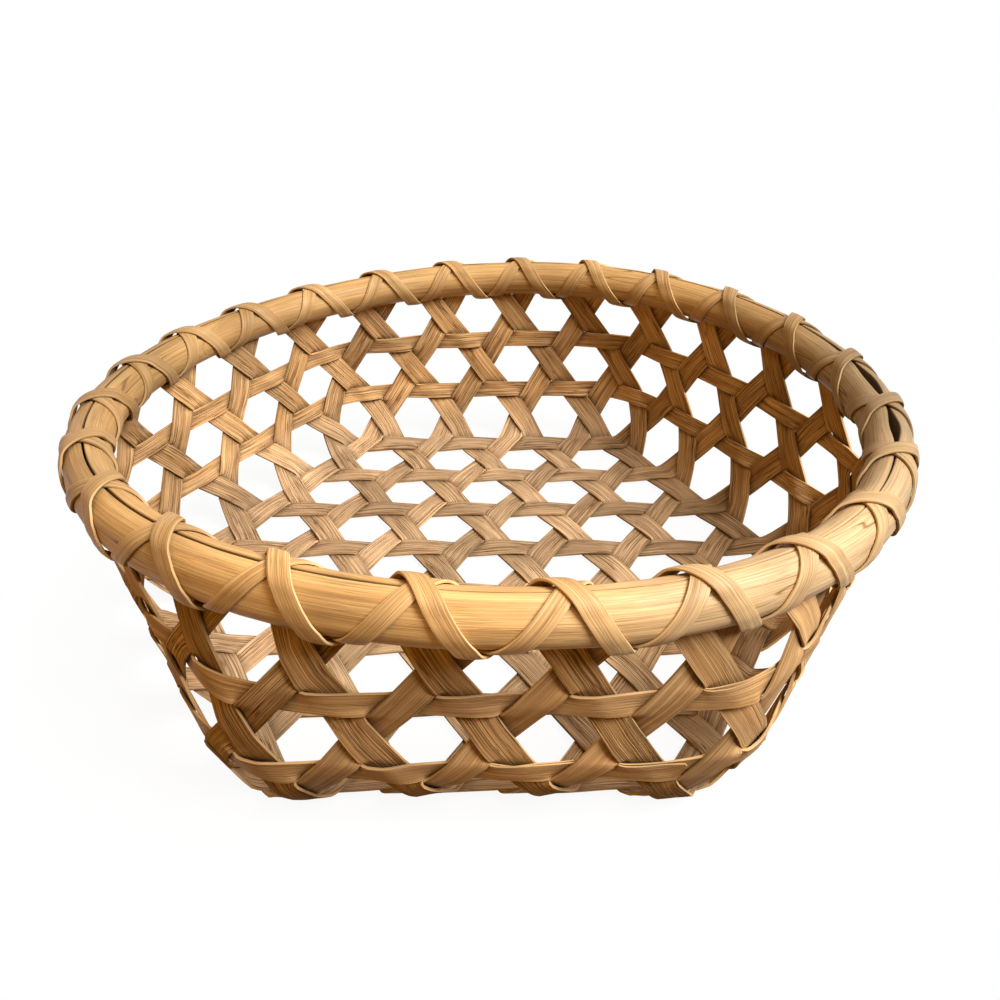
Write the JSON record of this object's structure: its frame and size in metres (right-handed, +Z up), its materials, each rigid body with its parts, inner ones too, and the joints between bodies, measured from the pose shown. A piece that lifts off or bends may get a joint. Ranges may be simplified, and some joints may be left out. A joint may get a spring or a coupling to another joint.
{
  "type": "cheese basket",
  "caption": "Open cheese basket in a three-way hexagon weave of flat splints, with a six-sided base that turns into a round lashed rim.",
  "frame": {"origin": "under the middle of the base, on the plane that the basket stands on", "axes": "+Z up out of the open mouth; +X to the right along the front and back edges of the six-sided base; the front faces -Y"},
  "size_m": [0.2888, 0.2888, 0.0896],
  "materials": {
    "splint": "satin",
    "hoop": "satin",
    "rim": "satin",
    "lasher": "satin"
  },
  "bodies": {
    "root": {"splint_a1": "splint", "splint_a2": "splint", "splint_a3": "splint", "splint_a4": "splint", "splint_a5": "splint", "splint_a6": "splint", "splint_a7": "splint", "splint_a8": "splint", "splint_b1": "splint", "splint_b2": "splint", "splint_b3": "splint", "splint_b4": "splint", "splint_b5": "splint", "splint_b6": "splint", "splint_b7": "splint", "splint_b8": "splint", "splint_c1": "splint", "splint_c2": "splint", "splint_c3": "splint", "splint_c4": "splint", "splint_c5": "splint", "splint_c6": "splint", "splint_c7": "splint", "splint_c8": "splint", "hoop_lower": "hoop", "hoop_upper": "hoop", "rim_outer": "rim", "rim_inner": "rim", "lasher_under": "lasher", "lasher_over": "lasher"}
  },
  "joints": []
}
